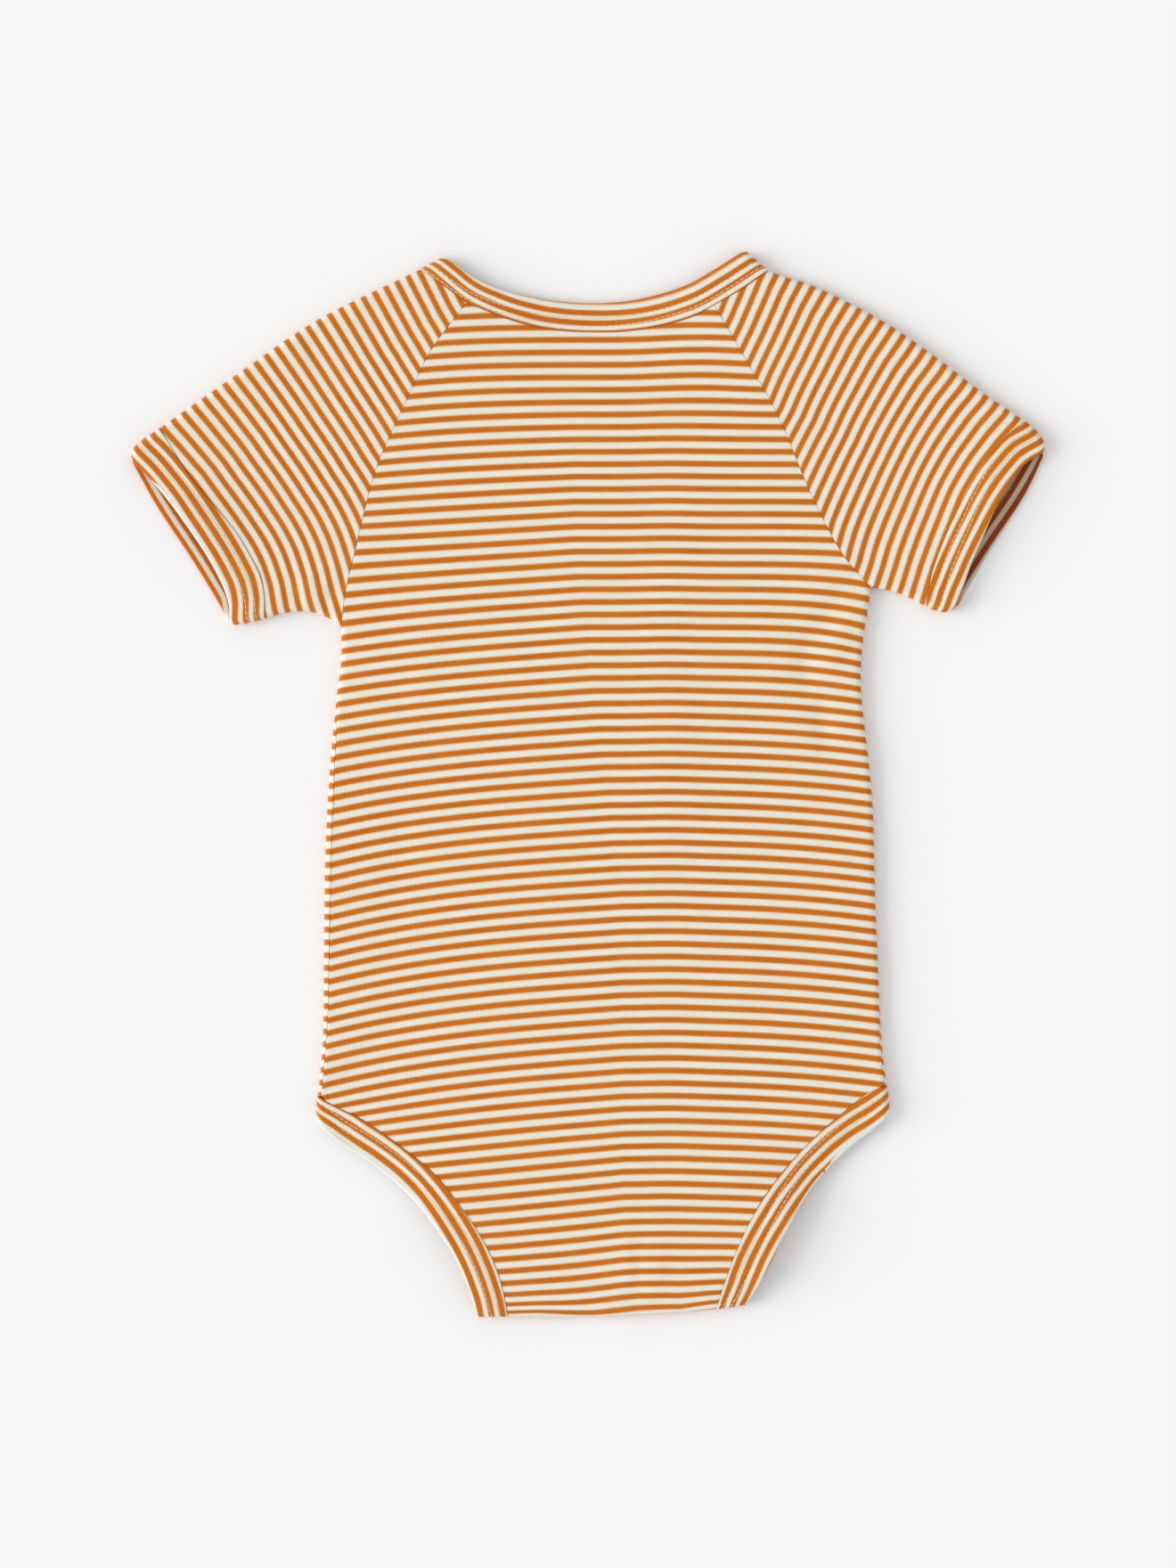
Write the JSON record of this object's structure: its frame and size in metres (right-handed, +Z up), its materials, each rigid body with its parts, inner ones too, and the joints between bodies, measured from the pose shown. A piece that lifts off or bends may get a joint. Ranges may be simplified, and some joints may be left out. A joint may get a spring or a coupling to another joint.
{
  "type": "baby onesie",
  "caption": "Short-sleeved raglan baby bodysuit in striped knit, laid out flat with its back up; bound neck, cuffs and leg openings, and a crotch tab that snaps underneath.",
  "frame": {"origin": "centre of the bounding box in plan, on the surface that the garment lies on", "axes": "+Y from the crotch to the neck, +Z up from the surface through the back of the garment, +X towards the wearer's right sleeve"},
  "size_m": [0.3426, 0.3993, 0.0083],
  "materials": {
    "striped_jersey": "soft cotton rib jersey, yarn-dyed in narrow orange and cream stripes",
    "binding_jersey": "the same jersey cut as folded binding, with twin-needle stitching",
    "snap_metal": "satin nickel-plated press snaps"
  },
  "bodies": {
    "root": {"back_panel": "striped_jersey", "front_panel": "striped_jersey", "sleeve_left": "striped_jersey", "sleeve_right": "striped_jersey", "neck_binding": "binding_jersey", "cuff_binding_left": "binding_jersey", "cuff_binding_right": "binding_jersey", "leg_binding_left": "binding_jersey", "leg_binding_right": "binding_jersey", "hem_cap_1": "snap_metal", "hem_cap_2": "snap_metal", "hem_cap_3": "snap_metal", "hem_socket_1": "snap_metal", "hem_socket_2": "snap_metal", "hem_socket_3": "snap_metal", "tab_stud_1": "snap_metal", "tab_stud_2": "snap_metal", "tab_stud_3": "snap_metal", "tab_cap_1": "snap_metal", "tab_cap_2": "snap_metal", "tab_cap_3": "snap_metal"}
  },
  "joints": []
}
